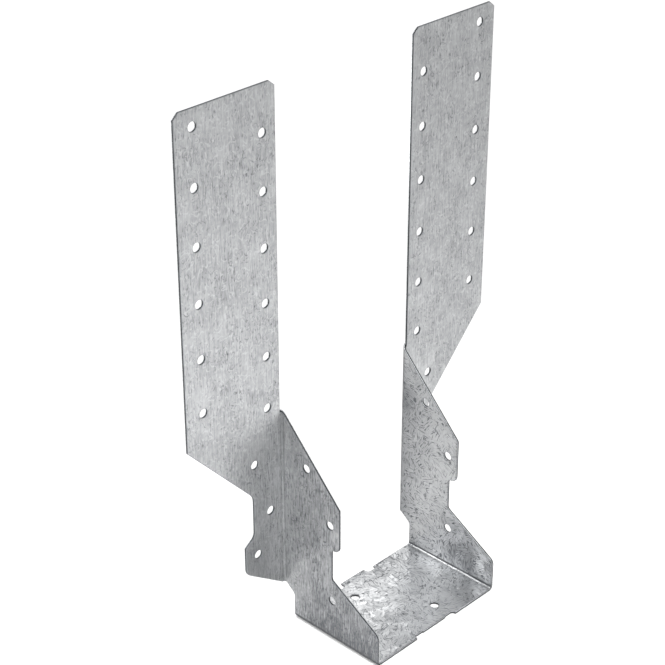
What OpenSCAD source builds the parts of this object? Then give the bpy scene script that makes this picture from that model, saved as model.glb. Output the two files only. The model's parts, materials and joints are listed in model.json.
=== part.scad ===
// Long-leg joist hanger: one steel blank, punched and folded up.
// The joist sits on the seat between two side plates. Behind them two flanges lie
// against the header, and each runs on upwards as a tall nailing strap.
// X crosses the joist, +Y points into the header, and Z is up from the seat's underside.

/* [Sheet] */
// Thickness of the steel sheet
sheet_t = 1.2; // [0.9:0.1:2]
// Inside radius of every fold
bend_r = 1.2; // [0.8:0.1:2]

/* [Joist pocket] */
// Clear width between the side plates
joist_w = 76; // [60:1:140]
// Depth of the seat, back to front
seat_depth = 51; // [46:1:70]
// Setback of the seat from the header's face
seat_setback = 7.5; // [6:0.5:9]

/* [Side plates] */
// Height at which the header fold ends
fold_top = 105; // [98:1:115]
// Reach of the upper wing from the header's face
wing_reach = 35.2; // [33:0.2:40]
// Height of the wing's upper corner
wing_top = 70.5; // [66:0.5:76]
// Height of the wing's underside
wing_base = 48.4; // [46:0.2:54]
// Reach of the waist below the wing
waist_reach = 30.6; // [26:0.2:31]
// Height at which the waist meets the toe's slope
waist_base = 32.5; // [29:0.5:37]
// Height of the toe's slope at the front edge
toe_top = 16; // [10:0.5:20]

/* [Header flanges] */
// Height of the flanges' lower end
flange_base = 17; // [14:0.5:20]
// How far the relief below the header fold slopes down to the side plate's rear edge
relief_drop = 4; // [2:0.5:6]
// Width of the flange at its neck
neck_w = 16.3; // [15:0.1:20]
// Width of the flange at its ear
ear_w = 21.8; // [21:0.1:28]
// Height of the neck's top corner
neck_top = 70.3; // [66:0.1:76]
// Height of the neck's bottom corner
neck_base = 50.2; // [48:0.1:54]
// Height of the ear's top corner
ear_top = 46; // [44:0.1:47]
// Height of the ear's bottom corner
ear_base = 32.2; // [28:0.1:36]

/* [Straps] */
// Height of the whole hanger
hanger_h = 257; // [245:1:320]
// Width of each strap
strap_w = 52.5; // [44:0.5:60]
// Height at which the strap starts to taper to the neck
taper_top = 109; // [102:1:116]
// Width and height of the clipped corners at the top
clip = [3, 2.5]; // [1:0.5:6]

/* [Nail holes] */
// Diameter of the nail holes
nail_d = 4.2; // [3:0.1:5.5]
// Distance from hole to hole along a strap
nail_pitch = 25; // [20:1:30]
// Holes in each of a strap's two columns
column_holes = 6; // [3:1:6]
// Inner column's distance from the strap's inner edge
inner_inset = 7.1; // [6:0.1:12]
// Outer column's distance from the strap's outer edge
outer_inset = 9.4; // [6:0.1:12]
// Outer column's distance from hole centre to the strap's top
outer_drop = 7.5; // [5:0.5:9]
// How much lower the inner column starts
stagger = 13; // [8:0.5:15]

/* [Sheared seat ends] */
// Width of the tab that held one blank to the next
tab_w = 15; // [8:1:24]
// How far the tab sticks out behind, and is missing in front
tab_step = 1.3; // [0.4:0.1:1.4]
// Width and depth of the notch at each side of the tab
notch = [5.5, 1.8]; // [1.8:0.1:8]

/* [Hidden] */
outer_r = bend_r + sheet_t;
seat_front = seat_setback + seat_depth;
strap_x = joist_w / 2 + outer_r;      // where the header fold runs out into the flange
strap_edge = strap_x + strap_w;
neck_x = strap_x + neck_w;
ear_x = strap_x + ear_w;
fold_slope = (fold_top - wing_top) / (wing_reach - outer_r);
arc_step = 10;                        // largest turn between two points of an arc
slack = 1;                            // how far a cutter stands past the sheet

// Hole centres beside those of the straps: [distance from the fold, height]
flange_holes = [[15.3, 86.5], [6.4, 59], [14.4, 39.5]];
// Hole centres in a side plate: [distance from the header's face, height]
side_holes = [[15.4, 83.3], [29.5, 60.5], [31, 21.3]];
// The two seat holes lie this far from the ends and from the middle
seat_inset = 10.5;

// ---- Outlines: each corner is [x, y, radius], and radius 0 stays sharp ----

function point(corner) = [corner.x, corner.y];

function turned(v, angle) = [v.x * cos(angle) - v.y * sin(angle), v.x * sin(angle) + v.y * cos(angle)];

// The arc that rounds corner b between its neighbours a and c
function corner_arc(a, b, c, r) =
    let (
        to_a = (a - b) / norm(a - b),
        to_c = (c - b) / norm(c - b),
        half = acos(to_a * to_c) / 2,
        centre = b + (to_a + to_c) / norm(to_a + to_c) * r / sin(half),
        start = b + to_a * r / tan(half) - centre,
        turn = (180 - 2 * half) * sign(cross(to_c, to_a)),
        steps = ceil(abs(turn) / arc_step)
    )
    [for (i = [0:steps]) centre + turned(start, turn * i / steps)];

function rounded(corners) =
    let (n = len(corners))
    [
        for (i = [0:n - 1])
            let (before = corners[(i + n - 1) % n], here = corners[i], after = corners[(i + 1) % n])
            each here[2] == 0 ? [point(here)] : corner_arc(point(before), point(here), point(after), here[2])
    ];

// A side plate from the side: x is the distance from the header's face
side_outline = [
    [0, flange_base, 0],
    [outer_r, flange_base, 0],
    [seat_setback, flange_base - relief_drop, 3],
    [seat_setback, 0, 0],
    [seat_front, 0, 0],
    [seat_front, toe_top, 3.5],
    [waist_reach, waist_base, 2],
    [waist_reach, wing_base, 1.5],
    [wing_reach, wing_base, 3],
    [wing_reach, wing_top, 2],
    [0, fold_top + outer_r * fold_slope, 0]
];

// A flange and its strap from the front: x is the distance from the joist's centre line
flange_outline = [
    [strap_x, flange_base, 0],
    [ear_x, ear_base, 5],
    [ear_x, ear_top, 1],
    [neck_x, neck_base, 4],
    [neck_x, neck_top, 6],
    [strap_edge, taper_top, 0],
    [strap_edge, hanger_h - clip.y, 0],
    [strap_edge - clip.x, hanger_h, 0],
    [strap_x + clip.x, hanger_h, 0],
    [strap_x, hanger_h - clip.y, 0]
];

// One end of the seat, left to right, where the blank was sheared from the next
function sheared_end(y, inward, tab_side_r) =
    let (tab = tab_w / 2, out = tab + notch.x, floor_y = y + inward * notch.y)
    [
        [-out, y, 0], [-out, floor_y, 1.6], [-tab, floor_y, tab_side_r], [-tab, y + tab_step, 0],
        [tab, y + tab_step, 0], [tab, floor_y, tab_side_r], [out, floor_y, 1.6], [out, y, 0]
    ];

function reversed(list) = [for (i = [len(list) - 1:-1:0]) list[i]];

seat_edge = joist_w / 2 - bend_r;
seat_outline = concat(
    [[-seat_edge, -seat_front, 0]],
    sheared_end(-seat_front, 1, 0.2),
    [[seat_edge, -seat_front, 0], [seat_edge, -seat_setback, 0]],
    reversed(sheared_end(-seat_setback, -1, 1.6)),
    [[-seat_edge, -seat_setback, 0]]
);

// ---- Pieces of the sheet ----

module nail_hole(at) translate([at.x, at.y, -slack]) cylinder(d = nail_d, h = sheet_t + 2 * slack, $fn = 48);

// A quarter of a tube along Z, from the X axis round to the Y axis
module fold(length) {
    rotate_extrude(angle = 90, $fn = 72) translate([bend_r, 0]) square([sheet_t, length]);
}

module seat() {
    difference() {
        linear_extrude(sheet_t) polygon(rounded(seat_outline));
        nail_hole([-seat_inset, -seat_setback - seat_inset]);
        nail_hole([seat_inset, -seat_front + seat_inset]);
    }
}

// Turns a shape drawn as [distance from the header, height] up on the right of the joist
module stood_on_side() translate([joist_w / 2 + sheet_t, 0, 0]) rotate([90, 0, -90]) children();

// The right side plate with both of its folds, all cut along one outline
module side_plate() {
    difference() {
        intersection() {
            union() {
                translate([joist_w / 2, -seat_front, outer_r])
                    cube([sheet_t, seat_front - outer_r, fold_top]);
                translate([strap_x, -outer_r, flange_base]) rotate(90)
                    fold(fold_top);
                translate([seat_edge, -seat_setback, outer_r]) rotate([90, 0, 0]) rotate(-90)
                    fold(seat_depth);
            }
            translate([-outer_r, 0, 0]) stood_on_side() translate([0, 0, -2 * outer_r])
                linear_extrude(4 * outer_r) polygon(rounded(side_outline));
        }
        stood_on_side() for (hole = side_holes) nail_hole(hole);
    }
}

// The right header flange and the strap above it
module flange_and_strap() {
    rotate([90, 0, 0]) difference() {
        linear_extrude(sheet_t) polygon(rounded(flange_outline));
        for (hole = flange_holes) nail_hole([strap_x + hole.x, hole.y]);
        for (row = [0:column_holes - 1]) {
            outer_z = hanger_h - outer_drop - row * nail_pitch;
            nail_hole([strap_edge - outer_inset, outer_z]);
            nail_hole([strap_x + inner_inset, outer_z - stagger]);
        }
    }
}

module hanger() {
    color("silver") translate([0, seat_front / 2, 0]) {
        seat();
        for (side = [0, 1]) mirror([side, 0, 0]) {
            side_plate();
            flange_and_strap();
        }
    }
}

hanger();
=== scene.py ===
import json
import math

import bmesh
import bpy
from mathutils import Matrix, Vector


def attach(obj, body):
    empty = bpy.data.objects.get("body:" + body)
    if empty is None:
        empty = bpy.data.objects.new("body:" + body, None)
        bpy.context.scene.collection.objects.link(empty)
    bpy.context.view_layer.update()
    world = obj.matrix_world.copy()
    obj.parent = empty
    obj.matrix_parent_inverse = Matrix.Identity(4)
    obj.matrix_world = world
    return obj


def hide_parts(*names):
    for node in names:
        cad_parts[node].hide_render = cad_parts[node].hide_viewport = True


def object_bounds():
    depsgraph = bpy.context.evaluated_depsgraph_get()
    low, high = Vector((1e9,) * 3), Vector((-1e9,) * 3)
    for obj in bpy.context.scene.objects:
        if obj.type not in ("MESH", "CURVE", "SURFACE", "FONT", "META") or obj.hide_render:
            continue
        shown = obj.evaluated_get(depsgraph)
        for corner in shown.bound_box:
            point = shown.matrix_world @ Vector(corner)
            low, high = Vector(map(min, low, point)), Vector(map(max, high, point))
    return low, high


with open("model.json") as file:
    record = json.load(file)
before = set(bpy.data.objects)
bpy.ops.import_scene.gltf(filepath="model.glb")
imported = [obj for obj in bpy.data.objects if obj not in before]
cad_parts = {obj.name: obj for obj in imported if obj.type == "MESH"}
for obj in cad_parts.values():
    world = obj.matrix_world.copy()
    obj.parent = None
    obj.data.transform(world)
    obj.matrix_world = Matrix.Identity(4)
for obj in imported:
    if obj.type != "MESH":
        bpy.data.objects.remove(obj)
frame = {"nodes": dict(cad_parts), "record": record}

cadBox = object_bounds()
mm = 0.001
mounts = {m["name"]: m for m in frame["record"]["mounts"]}
sheetT = mounts["seat_face"]["pos_m"][2]              # the seat's underside is at height 0
plateIn = mounts["joist_side_right"]["pos_m"][0]      # inner face of a side plate
headerY = mounts["header_face_left"]["pos_m"][1]      # back face of the flanges
print("frame loaded, sheet", round(sheetT / mm, 2), "mm")

scene = bpy.context.scene
scene.view_settings.view_transform = "Standard"


def hexColour(code):
    # sRGB hex to the linear values that Blender works in
    parts = [int(code[i:i + 2], 16) / 255 for i in (1, 3, 5)]
    return tuple(p / 12.92 if p <= 0.04045 else ((p + 0.055) / 1.055) ** 2.4 for p in parts) + (1,)


def addNode(tree, kind, inputs=None, out=0, **settings):
    # one node with its settings, values and links; gives back one of its outputs
    node = tree.nodes.new(kind)
    for name, value in settings.items():
        setattr(node, name, value)
    for socket, source in (inputs or {}).items():
        if isinstance(source, bpy.types.NodeSocket):
            tree.links.new(source, node.inputs[socket])
        else:
            node.inputs[socket].default_value = source
    return node.outputs[out] if node.outputs else node


def newMaterial(name):
    made = bpy.data.materials.new(name)
    made.use_nodes = True
    made.node_tree.nodes.clear()
    return made, made.node_tree


# The camera stands to the left of the joist, a little above the straps' tops

cameraSetup = {
    "azimuth": -45.9,        # degrees from straight in front
    "elevation": 28.7,
    "distance": 0.78,        # metres from the point it looks at
    "aim": (-1.0, 35.0, -1.5),   # mm from the hanger's centre
    "lens": 96.5,
    "nearest": 0.01,         # metres, the nearest thing it draws
}


def makeCamera(setup):
    low, high = cadBox
    target = (low + high) / 2 + Vector(setup["aim"]) * mm
    turn, lift = math.radians(setup["azimuth"]), math.radians(setup["elevation"])
    back = Vector((math.sin(turn) * math.cos(lift), -math.cos(turn) * math.cos(lift), math.sin(lift)))
    lens = bpy.data.cameras.new("camera")
    lens.lens = setup["lens"]
    lens.clip_start = setup["nearest"]
    camera = bpy.data.objects.new("camera", lens)
    camera.location = target + back * setup["distance"]
    camera.rotation_euler = (-back).to_track_quat("-Z", "Y").to_euler()
    scene.collection.objects.link(camera)
    scene.camera = camera


makeCamera(cameraSetup)
print("camera set")


# The hanger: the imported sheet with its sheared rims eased. Its flat pattern is kept as a
# UV map, so that the rolling grain runs on over every fold as it does on the real blank

hangerSetup = {
    "foldIn": 1.2,           # mm, inside radius of the folds
    "roll": 0.4,             # mm, how far in from an edge shearing draws the face down
    "rollDrop": 0.07,        # mm, how far down it draws it
    "ease": 0.1,             # mm, rounding left on the cut corner itself
    "easeSteps": 2,          # facets of that rounding
    "sharp": 40,             # degrees; a fold's facets turn less than this
    "weld": 0.001,           # mm, corners closer than this are one
    "level": 0.5,            # degrees, facets that turn less than this are one face
    "squarely": 0.9,         # how nearly a face looks in or out where it is the sheet's own
}

outer, inner, cut = 0, 1, 2                           # material slots: the sheet's two faces, and its edges
foldIn = hangerSetup["foldIn"] * mm
foldOut = foldIn + sheetT
foldMiddle = foldIn + sheetT / 2                      # radius of the sheet's middle, which keeps its length
foldLength = math.pi / 2 * foldMiddle
seatEnd = plateIn - foldIn                            # where the seat runs into its fold
plateBack = headerY - foldOut                         # where a side plate runs into the header fold
flangeStart = plateIn + foldOut                       # where the header fold runs into the flange


def sheetZone(p):
    # which stretch of the sheet a point is on, and how far it is past a fold's start
    x = abs(p.x)
    if p.z < foldOut:
        return ("seat", 0) if x < seatEnd else ("seatFold", x - seatEnd)
    if p.y > plateBack:
        return ("flange", 0) if x > flangeStart else ("headerFold", p.y - plateBack)
    return "plate", 0


def flatPoint(p):
    # where a point of the folded hanger lies on the flat blank: across the grain, along the grain
    zone, past = sheetZone(p)
    x = abs(p.x)
    across, along = p.y, x
    if zone == "seatFold":
        along = seatEnd + foldMiddle * math.atan2(past, foldOut - p.z)
    elif zone != "seat":
        along = seatEnd + foldLength + p.z - foldOut
    if zone == "headerFold":
        across = plateBack + foldMiddle * math.atan2(past, flangeStart - x)
    elif zone == "flange":
        across = plateBack + foldLength + x - flangeStart
    return across, math.copysign(along, p.x)


def inward(p):
    # the way the sheet's inner face looks at a point: to the seat fold's axis, and away from
    # the header fold's
    zone, past = sheetZone(p)
    if zone == "seatFold":
        way = Vector((-past, 0, foldOut - p.z))
    elif zone == "headerFold":
        way = Vector((abs(p.x) - flangeStart, past, 0))
    else:
        way = Vector({"seat": (0, 0, 1), "plate": (-1, 0, 0), "flange": (0, 1, 0)}[zone])
    way.x *= math.copysign(1, p.x)
    return way.normalized()


def sortFaces(bm, setup):
    # a face that looks squarely in or out is the sheet's own, and any other is a cut edge
    for face in bm.faces:
        facing = face.normal.dot(inward(face.calc_center_median()))
        if abs(facing) < setup["squarely"]:
            face.material_index = cut
        else:
            face.material_index = inner if facing > 0 else outer


def rollRims(bm, setup):
    # a strip along every edge, whose rim shearing has drawn down
    for kind in (outer, inner):
        region = [f for f in bm.faces if f.material_index == kind]
        made = bmesh.ops.inset_region(bm, faces=region, thickness=setup["roll"] * mm, use_even_offset=True,
                                      use_boundary=True)
        for face in made["faces"]:
            face.material_index = kind
    bm.normal_update()
    drops = {}
    for edge in bm.edges:
        if len({f.material_index for f in edge.link_faces}) > 1:
            for vert in edge.verts:
                normals = [f.normal for f in vert.link_faces if f.material_index != cut]
                drops[vert] = sum(normals, Vector()).normalized()
    rim = bm.verts.layers.float["rim"]
    for vert, normal in drops.items():
        vert[rim] = 1
        vert.co -= normal * setup["rollDrop"] * mm


def shadeTrue(mesh):
    # inside its rims the sheet shades as truly flat plates and round folds
    rims = mesh.attributes["rim"].data
    normals = [corner.vector.copy() for corner in mesh.corner_normals]
    for face in mesh.polygons:
        for loop in face.loop_indices:
            vert = mesh.loops[loop].vertex_index
            if face.material_index != cut and rims[vert].value < 0.5:
                way = inward(mesh.vertices[vert].co)
                normals[loop] = way if face.material_index == inner else -way
    mesh.normals_split_custom_set(normals)


def makeHanger(setup):
    source = frame["nodes"]["hanger"]
    bm = bmesh.new()
    bm.from_mesh(source.data)
    bmesh.ops.remove_doubles(bm, verts=bm.verts, dist=setup["weld"] * mm)
    bmesh.ops.dissolve_limit(bm, angle_limit=math.radians(setup["level"]), verts=bm.verts, edges=bm.edges)
    bm.verts.layers.float.new("rim")
    depth = bm.verts.layers.float.new("depth")        # through the sheet: 0 outer face, 1 inner face
    sortFaces(bm, setup)
    rollRims(bm, setup)
    for face in bm.faces:
        if face.material_index == inner:
            for vert in face.verts:
                vert[depth] = 1
    uv = bm.loops.layers.uv.new("flatBlank")
    for face in bm.faces:
        face.smooth = True
        for loop in face.loops:
            loop[uv].uv = flatPoint(loop.vert.co)
    cuts = [e for e in bm.edges if len({f.material_index == cut for f in e.link_faces}) > 1]
    bmesh.ops.bevel(bm, geom=cuts, offset=setup["ease"] * mm, offset_type="OFFSET",
                    segments=setup["easeSteps"], profile=0.5, affect="EDGES", clamp_overlap=True)
    bmesh.ops.triangulate(bm, faces=[f for f in bm.faces if len(f.verts) > 4])
    mesh = bpy.data.meshes.new("folded_sheet")
    bm.to_mesh(mesh)
    bm.free()
    piece = bpy.data.objects.new("folded_sheet", mesh)
    scene.collection.objects.link(piece)
    mesh.set_sharp_from_angle(angle=math.radians(setup["sharp"]))
    shadeTrue(mesh)
    return piece


folded = makeHanger(hangerSetup)
print("sheet made,", len(folded.data.polygons), "faces")


# The finishes. Patterns and places are kept by name in one table, so that each finish can list
# what it draws, and how much of each goes into its colour, roughness and relief

def layer(tree, place, size, low, high, detail, seed):
    # soft noise at a size in mm across and along the grain, its low to high spread over 0 to 1
    at = addNode(tree, "ShaderNodeMapping", {"Vector": place, "Location": (seed, seed, 0),
                                             "Scale": (1 / (size[0] * mm), 1 / (size[1] * mm), 1)})
    noise = addNode(tree, "ShaderNodeTexNoise", {"Vector": at, "Scale": 1, "Detail": detail,
                                                 "Roughness": 0.55}, noise_dimensions="2D")
    return addNode(tree, "ShaderNodeMapRange", {0: noise, 1: low, 2: high})


def contours(tree, place, size, turns, width, seed):
    # thin curved lines along equal heights of soft noise
    height = layer(tree, place, size, 0, 1, 0.6, seed)
    height = addNode(tree, "ShaderNodeMath", {0: height, 1: turns}, operation="MULTIPLY")
    height = addNode(tree, "ShaderNodeMath", {0: height, 1: 0.5}, operation="PINGPONG")
    return addNode(tree, "ShaderNodeMapRange", {0: height, 1: width, 2: width * 0.3})


def drawPatterns(tree, at, setup):
    # adds to the table every fade, noise and set of curved lines that a setup lists
    for name, (source, start, end, *ends) in setup.get("fades", {}).items():
        low, high = ends or (0, 1)
        at[name] = addNode(tree, "ShaderNodeMapRange", {0: at[source], 1: start * mm, 2: end * mm,
                                                        3: low, 4: high})
    for name, (source, *values) in setup.get("noises", {}).items():
        at[name] = layer(tree, at[source], *values)
    for name, (source, *values) in setup.get("curls", {}).items():
        at[name] = contours(tree, at[source], *values)


def weighed(tree, at, start, parts):
    # start plus each pattern times its weight; a part is held back by any further patterns
    total = start
    for weight, first, *gates in parts:
        pattern = at[first]
        for gate in gates:
            pattern = addNode(tree, "ShaderNodeMath", {0: pattern, 1: at[gate]}, operation="MULTIPLY")
        total = addNode(tree, "ShaderNodeMath", {0: pattern, 1: weight, 2: total}, operation="MULTIPLY_ADD")
    return total


def bareMetal(tree, at, setup):
    # metal in the setup's base colour, with each of its other colours laid over by a pattern
    colour = hexColour(setup["base"])
    for pattern, code in setup["over"]:
        colour = addNode(tree, "ShaderNodeMix", {0: at[pattern], 6: colour, 7: hexColour(code)},
                         out=2, data_type="RGBA")
    rough = weighed(tree, at, setup["roughness"], setup["rougher"])
    height = weighed(tree, at, 0, setup["relief"])
    bump = addNode(tree, "ShaderNodeBump", {"Strength": 1, "Distance": mm, "Height": height})
    shader = addNode(tree, "ShaderNodeBsdfPrincipled", {"Base Color": colour, "Metallic": 1,
                                                        "Roughness": rough, "Normal": bump})
    addNode(tree, "ShaderNodeOutputMaterial", {"Surface": shader})


# Places on the flat blank. Distances run across the grain, along it from the seat's middle
# (along, and side with its sign), and from the middle line of each fold

halfFold = foldLength / 2 / mm

blankSetup = {
    # the distance that each fade reads, where it starts and where it is full in mm, and its two
    # values where they aren't 0 and 1
    "fades": {
        "onHeaderFold": ("fromHeader", halfFold + 0.3, halfFold - 0.8),
        "upHeaderFold": ("along", 100, 132, 0.5, 0.7),
        "onSeatFold": ("fromSeat", halfFold + 0.5, halfFold - 0.2),
        "closeToHeader": ("fromHeader", 24, 3),
        "underStrap": ("along", 145, 115),
        "aboveSeat": ("pastSeat", -halfFold, halfFold),
        "beforeHeader": ("pastHeader", -3, -20),
        "foot": ("along", 72, 42),
        "behindFold": ("pastHeader", 0, 3),
    },
    # places where two others meet
    "meets": {
        "headerCrease": ("onHeaderFold", "upHeaderFold"),
        "nearHeader": ("closeToHeader", "underStrap"),
        "plate": ("beforeHeader", "aboveSeat"),
        "low": ("foot", "plate"),
        "flange": ("behindFold", "nearHeader"),
    },
}


def blankPlaces(tree, setup):
    # the table of places that both faces' finishes start from
    at = {"flat": addNode(tree, "ShaderNodeUVMap", uv_map="flatBlank")}
    at["across"] = addNode(tree, "ShaderNodeSeparateXYZ", {0: at["flat"]})
    at["side"] = at["across"].node.outputs["Y"]
    at["along"] = addNode(tree, "ShaderNodeMath", {0: at["side"]}, operation="ABSOLUTE")
    for fold, source, start in (("Header", "across", plateBack), ("Seat", "along", seatEnd)):
        middle = start + foldLength / 2
        past = addNode(tree, "ShaderNodeMath", {0: at[source], 1: middle}, operation="SUBTRACT")
        at["past" + fold] = past
        at["from" + fold] = addNode(tree, "ShaderNodeMath", {0: past}, operation="ABSOLUTE")
    at["rim"] = addNode(tree, "ShaderNodeAttribute", out=2, attribute_name="rim")
    drawPatterns(tree, at, setup)
    for name, (first, second) in setup["meets"].items():
        at[name] = addNode(tree, "ShaderNodeMath", {0: at[first], 1: at[second]}, operation="MULTIPLY")
    at["crease"] = addNode(tree, "ShaderNodeMath", {0: at["headerCrease"], 1: at["onSeatFold"]},
                           operation="MAXIMUM")
    return at


# Hot-dip galvanised sheet, outer face: zinc pressed by the skin-pass roll, so it is a matt
# grey with fine lines along the rolling direction, short dark flecks and faint blotches

grainSetup = {
    "base": "#b6b7b8",
    "over": [
        ("paintedReflection", "#e6e7e8"),      # painted reflection that lightens the flange
        ("tone", "#626467"),         # dull zinc, and painted shade
        # darker rim along every edge: dulled zinc of the sheared rim, and painted shade
        ("rim", "#7c7e81"),
        ("crease", "#616365"),       # crazed along a fold, and painted shade in it
    ],
    # what each noise is laid on, its size in mm across and along the rolling direction, the span
    # that is spread over 0 to 1, its octaves and its seed; the finest real lines are narrower
    # than 0.5 mm, and are drawn this wide so that they show
    "noises": {
        "line": ("flat", (0.5, 9), 0.28, 0.72, 3, 0),
        "band": ("flat", (1.3, 14), 0.3, 0.7, 2, 2.8),
        "streak": ("flat", (0.55, 4.2), 0.55, 0.72, 2, 3.3),
        "streakPatch": ("flat", (9, 22), 0.38, 0.62, 2, 5.1),
        "fleck": ("flat", (0.7, 1.9), 0.6, 0.7, 1, 7.7),
        "fleckPatch": ("flat", (6, 8), 0.42, 0.6, 2, 9.2),
        "blotch": ("flat", (1.7, 2.2), 0.3, 0.7, 3, 1.9),
        "cloud": ("flat", (10, 13), 0.3, 0.7, 2, 4.6),
        "strokePatch": ("flat", (2.2, 2.6), 0.5, 0.58, 1, 2.2),
        "strokeArea": ("flat", (16, 20), 0.42, 0.58, 1, 8.8),
        "palePatch": ("flat", (3.4, 3.0), 0.46, 0.58, 1, 14.1),
    },
    # size in mm, number of turns, width of the line, seed
    "curls": {
        "stroke": ("flat", (4, 5), 5, 0.13, 6.4),
        "pale": ("flat", (4, 5), 5, 0.2, 12.4),
    },
    # how much each pattern dulls the zinc, and the patterns that hold it back; the parts on the plates, low
    # down and near the header are painted shade
    "bare": -0.06,
    "tone": [
        (0.27, "line"), (0.13, "band"), (0.15, "blotch"), (0.14, "cloud"),
        (0.36, "streak", "streakPatch"), (0.3, "streak", "nearHeader"), (0.3, "streak", "plate"),
        (0.34, "fleck", "fleckPatch"), (0.4, "stroke", "strokePatch", "strokeArea"),
        (-0.25, "pale", "palePatch"), (0.18, "pale", "palePatch", "plate"),
        # painted shade: the side plates darker, more so low down
        (0.25, "line", "plate"), (0.1, "plate"), (0.28, "low"),
        # painted reflection: the flange lightened, its lines kept
        (-0.32, "flange"), (0.35, "line", "flange"),
    ],
    # painted reflection on the flange
    "paintedReflection": [(0.4, "flange")],
    "roughness": 0.35,
    "rougher": [(0.14, "tone"), (0.22, "crease")],
    "relief": [(-0.003, "line"), (0.004, "blotch")],         # mm
}


def makeGrain(setup):
    material, tree = newMaterial("rolled_zinc")
    at = blankPlaces(tree, blankSetup)
    drawPatterns(tree, at, setup)
    at["tone"] = weighed(tree, at, setup["bare"], setup["tone"])
    at["paintedReflection"] = weighed(tree, at, 0, setup["paintedReflection"])
    bareMetal(tree, at, setup)
    return material


# The same sheet's inner face: unpressed zinc with its spangle. Each frozen crystal has its own grey,
# lean and ribs, and dark valleys curl between them. White leaves on the left of the seat and at the
# front corner of the right plate are painted highlights

spangleSetup = {
    "base": "#babbbc",
    "over": [
        ("paintedHighlight", "#f2f3f4"),        # painted highlights on glinting crystals, beside the seat's fold and at the plate's corner
        ("tone", "#626467"),         # dull zinc, and painted shade
        # darker rim along every edge: dulled zinc of the sheared rim, and painted shade
        ("rim", "#606265"),
        ("crease", "#505254"),       # crazed along a fold, and painted shade in it
    ],
    "crystal": 6.5,                  # mm across
    "warp": 4.5,                     # mm, how closely the crystals' borders wander
    "warpReach": 9,                  # mm, how far they wander
    "flashes": (0.35, 0.6),          # of the crystals' own brightness, from dull to a full painted highlight
    # slant grows to the right and to the front, so its fades cross the seat at 45 degrees
    "fades": {
        "onSeat": ("along", 39, 36),
        "aboveBend": ("along", 38, 39),
        "highUp": ("along", 106, 122),
        "rightPlate": ("side", 39, 43),
        "besideFold": ("side", 25, 36.8),
        "front": ("across", 6, -6),
        "frontCorner": ("across", -17, -22),
        "rear": ("across", -10, 6),
        "left": ("slant", 17.2, 14.5),
        "valleyArea": ("slant", 8, 22, 0.22, 1),
    },
    "noises": {
        "rib": ("straight", (0.7, 6), 0.35, 0.65, 2, 1.3),
        "fleck": ("straight", (0.5, 3.2), 0.67, 0.73, 0, 8.3),
        "leaf": ("turned", (3.4, 9), 0.4, 0.6, 1, 1.7),
        "cloud": ("flat", (9, 9), 0.3, 0.7, 3, 7.7),
        "valleyPatch": ("flat", (3.0, 3.4), 0.5, 0.57, 1, 2.7),
        "curlPatch": ("flat", (7, 7), 0.36, 0.55, 1, 3.9),
    },
    "curls": {
        "curl": ("warped", (14, 10), 7, 0.13, 9.4),
        "valley": ("warped", (10, 10), 9, 0.13, 6.1),
    },
    "leafArea": [(1, "left", "onSeat"), (1, "frontCorner", "rightPlate")],
    # painted highlights: leaves on the seat's left, the seat's left rear, and a band on the seat beside its
    # right fold, brightest at the front; a painted reflection at the right plate's front corner
    "paintedHighlight": [
        (0.6, "flashing", "leaf", "leafArea"), (-0.18, "left", "onSeat"), (0.8, "left", "onSeat", "rear"),
        (0.22, "frontCorner", "rightPlate"), (0.75, "besideFold", "onSeat"),
        (0.6, "besideFold", "onSeat", "front"),
    ],
    "bare": -0.04,
    # the low, front and near-header parts are painted shade, and the right plate's front corner is lightened
    # as a painted reflection
    "tone": [
        (0.13, "grey"), (0.16, "rib"), (0.07, "cloud"), (0.42, "fleck"), (0.25, "fleck", "rightPlate"),
        (0.15, "curl", "shine"), (0.34, "curl", "left", "curlPatch"), (0.18, "valley", "left"),
        (0.5, "valley", "valleyPatch", "valleyArea"), (0.14, "onSeat"), (0.17, "low"),
        (0.48, "low", "front"), (-0.22, "frontCorner", "rightPlate"), (0.1, "nearHeader"),
        (0.3, "nearHeader", "nearHeader"), (0.4, "nearHeader", "highUp"),
    ],
    "roughness": 0.27,
    "rougher": [(0.2, "tone")],
    # mm; a crystal's plane leans by up to half its weight
    "relief": [(0.08, "plane"), (0.004, "rib"), (-0.012, "valley", "valleyPatch"), (-0.008, "fleck")],
}


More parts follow.
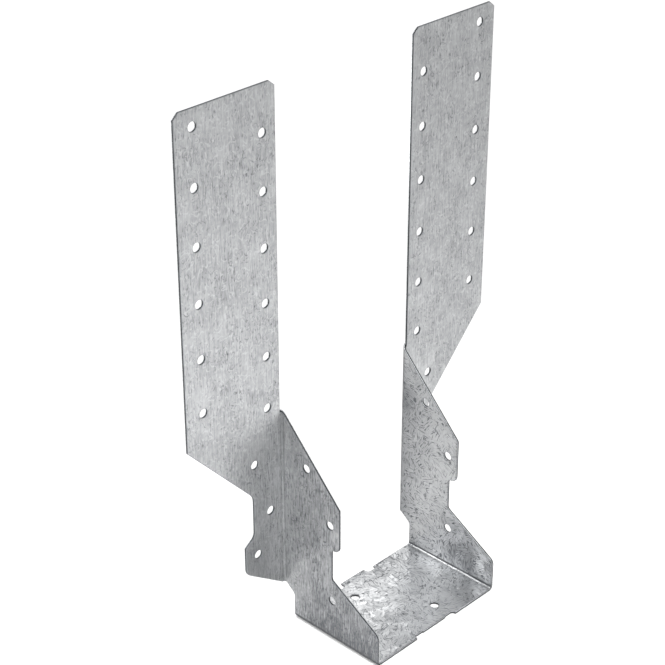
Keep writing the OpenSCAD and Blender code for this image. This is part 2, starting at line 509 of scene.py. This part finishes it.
def makeSpangle(setup):
    material, tree = newMaterial("spangled_zinc")
    at = blankPlaces(tree, blankSetup)
    shift = addNode(tree, "ShaderNodeTexNoise", {"Vector": at["flat"], "Scale": 1 / (setup["warp"] * mm),
                                                 "Detail": 2}, out=1)
    reach = setup["warpReach"] * mm
    at["warped"] = addNode(tree, "ShaderNodeVectorMath", {0: shift, 1: (reach, reach, 0), 2: at["flat"]},
                           operation="MULTIPLY_ADD")
    acrossWarped = addNode(tree, "ShaderNodeSeparateXYZ", {0: at["warped"]})
    sideWarped = acrossWarped.node.outputs["Y"]
    at["slant"] = addNode(tree, "ShaderNodeMath", {0: sideWarped, 1: acrossWarped}, operation="SUBTRACT")

    # each crystal is a cell with its own random grey, shine and turn
    cellAt = addNode(tree, "ShaderNodeVectorMath", {0: at["warped"], 3: 1 / (setup["crystal"] * mm)},
                     operation="SCALE")
    cell = addNode(tree, "ShaderNodeTexVoronoi", {"Vector": cellAt, "Scale": 1}, out=1,
                   voronoi_dimensions="2D")
    at["grey"] = addNode(tree, "ShaderNodeSeparateColor", {0: cell})
    at["shine"] = at["grey"].node.outputs["Green"]
    turn = addNode(tree, "ShaderNodeMath", {0: at["grey"].node.outputs["Blue"], 1: 2 * math.pi},
                   operation="MULTIPLY")
    for name, source in (("turned", "warped"), ("straight", "flat")):
        at[name] = addNode(tree, "ShaderNodeVectorRotate", {"Vector": at[source], "Angle": turn},
                           rotation_type="Z_AXIS")
    dullest, brightest = setup["flashes"]
    at["flashing"] = addNode(tree, "ShaderNodeMapRange", {0: at["shine"], 1: dullest, 2: brightest})

    # its plane leans its own way about its centre
    offset = addNode(tree, "ShaderNodeVectorMath", {0: cellAt, 1: cell.node.outputs["Position"]},
                     operation="SUBTRACT")
    offset = addNode(tree, "ShaderNodeVectorMath", {0: offset, 3: setup["crystal"]}, operation="SCALE")
    axis = addNode(tree, "ShaderNodeVectorMath", {0: cell, 1: (0.5, 0.5, 0.5)}, operation="SUBTRACT")
    at["plane"] = addNode(tree, "ShaderNodeVectorMath", {0: offset, 1: axis}, out=1, operation="DOT_PRODUCT")

    drawPatterns(tree, at, setup)
    at["leafArea"] = weighed(tree, at, 0, setup["leafArea"])
    at["paintedHighlight"] = weighed(tree, at, 0, setup["paintedHighlight"])
    at["tone"] = weighed(tree, at, setup["bare"], setup["tone"])
    at["crease"] = weighed(tree, at, 0, [(1, "crease", "aboveBend")])
    bareMetal(tree, at, setup)
    return material


# Sheared edge: bare steel, burnished bright where the punch slid in from the inner face, and
# torn dark grey from there to the outer face

edgeSetup = {
    "base": "#b4b6b8",               # burnished
    "over": [("torn", "#2c2e30")],
    "grit": 0.45,                    # mm, size of the tears
    "tornFrom": (0.98, 0.86),        # depth through the sheet, roughened by the tears
    "roughness": 0.34,
    "rougher": [(0.16, "torn")],
    "relief": [(0.03, "tear")],      # mm
}


def makeEdge(setup):
    material, tree = newMaterial("sheared_steel")
    place = addNode(tree, "ShaderNodeNewGeometry")
    tear = addNode(tree, "ShaderNodeTexNoise", {"Vector": place, "Scale": 1 / (setup["grit"] * mm),
                                                "Detail": 3})
    depth = addNode(tree, "ShaderNodeAttribute", out=2, attribute_name="depth")
    ragged = addNode(tree, "ShaderNodeMath", {0: tear, 1: 0.5, 2: depth}, operation="MULTIPLY_ADD")
    start, end = setup["tornFrom"]
    torn = addNode(tree, "ShaderNodeMapRange", {0: ragged, 1: start, 2: end})
    bareMetal(tree, {"tear": tear, "torn": torn}, setup)
    return material


for made in (makeGrain(grainSetup), makeSpangle(spangleSetup), makeEdge(edgeSetup)):
    folded.data.materials.append(made)
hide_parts("hanger")
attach(folded, "root")
print("sheet finished")


# Plain white studio: an even pale room, a pool of light before each strap, and boxes whose
# reflections draw the seat and the cut edges

stageSetup = {
    "floor": "#e8e8e8",
    "floorSize": 6,          # metres
    "floorGap": 0.1,         # mm below the seat
    "floorLift": 0.25,
    "lit": 0.5,              # metres from the middle, as far as the lamps light the floor well
    "litFade": 0.8,          # metres over which the lift takes over
    "sky": 0.94,
    # place and aim in metres, size in metres, watts, spread in degrees
    "lamps": {
        "right_pool": ((0.18, -0.25, 0.7), (0.18, -0.25, 0), 0.3, 0.4, 65),
        "left_pool": ((-0.16, -0.22, 0.7), (-0.16, -0.22, 0), 0.3, 1.05, 65),
        "rear_box": ((0.6, 0.95, 0.85), (0, 0, 0.1), 0.8, 1.5, 150),
        "back_left_box": ((-0.8, 0.8, 0.8), (0, 0, 0.1), 0.8, 6.5, 150),
        "edge_box": ((0.61, -0.56, 0.7), (0, 0, 0.12), 0.3, 0.6, 120),
    },
}


def makeFloor(setup):
    below = cadBox[0].z - setup["floorGap"] * mm
    bpy.ops.mesh.primitive_plane_add(size=setup["floorSize"], location=(0, 0, below))
    floor = bpy.context.object
    floor.name = "floor"
    material, tree = newMaterial("floor")
    # away from the lamps the floor is lifted to the same white wherever it is seen
    rays = addNode(tree, "ShaderNodeLightPath").node.outputs
    seen = rays["Is Camera Ray"]
    for ray in ("Is Glossy Ray", "Is Transmission Ray"):
        seen = addNode(tree, "ShaderNodeMath", {0: seen, 1: rays[ray]}, operation="MAXIMUM")
    away = addNode(tree, "ShaderNodeVectorMath", {0: addNode(tree, "ShaderNodeNewGeometry")}, out=1,
                   operation="LENGTH")
    away = addNode(tree, "ShaderNodeMapRange", {0: away, 1: setup["lit"], 2: setup["lit"] + setup["litFade"]})
    lift = addNode(tree, "ShaderNodeMath", {0: seen, 1: away}, operation="MULTIPLY")
    lift = addNode(tree, "ShaderNodeMath", {0: lift, 1: setup["floorLift"]}, operation="MULTIPLY")
    glow = addNode(tree, "ShaderNodeEmission", {"Color": (1, 1, 1, 1), "Strength": lift})
    paint = addNode(tree, "ShaderNodeBsdfDiffuse", {"Color": hexColour(setup["floor"])})
    both = addNode(tree, "ShaderNodeAddShader", {0: paint, 1: glow})
    addNode(tree, "ShaderNodeOutputMaterial", {"Surface": both})
    floor.data.materials.append(material)


def makeLights(setup):
    world = bpy.data.worlds.new("studio")
    scene.world = world
    world.use_nodes = True
    tree = world.node_tree
    tree.nodes.clear()
    sky = addNode(tree, "ShaderNodeBackground", {"Color": (1, 1, 1, 1), "Strength": setup["sky"]})
    addNode(tree, "ShaderNodeOutputWorld", {"Surface": sky})

    for name, (place, aim, size, watts, spread) in setup["lamps"].items():
        light = bpy.data.lights.new(name, "AREA")
        light.shape = "SQUARE"
        light.size = size
        light.energy = watts
        light.spread = math.radians(spread)
        lamp = bpy.data.objects.new(name, light)
        lamp.location = place
        lamp.rotation_euler = (Vector(aim) - lamp.location).to_track_quat("-Z", "Y").to_euler()
        scene.collection.objects.link(lamp)


makeFloor(stageSetup)
makeLights(stageSetup)
print("stage set")
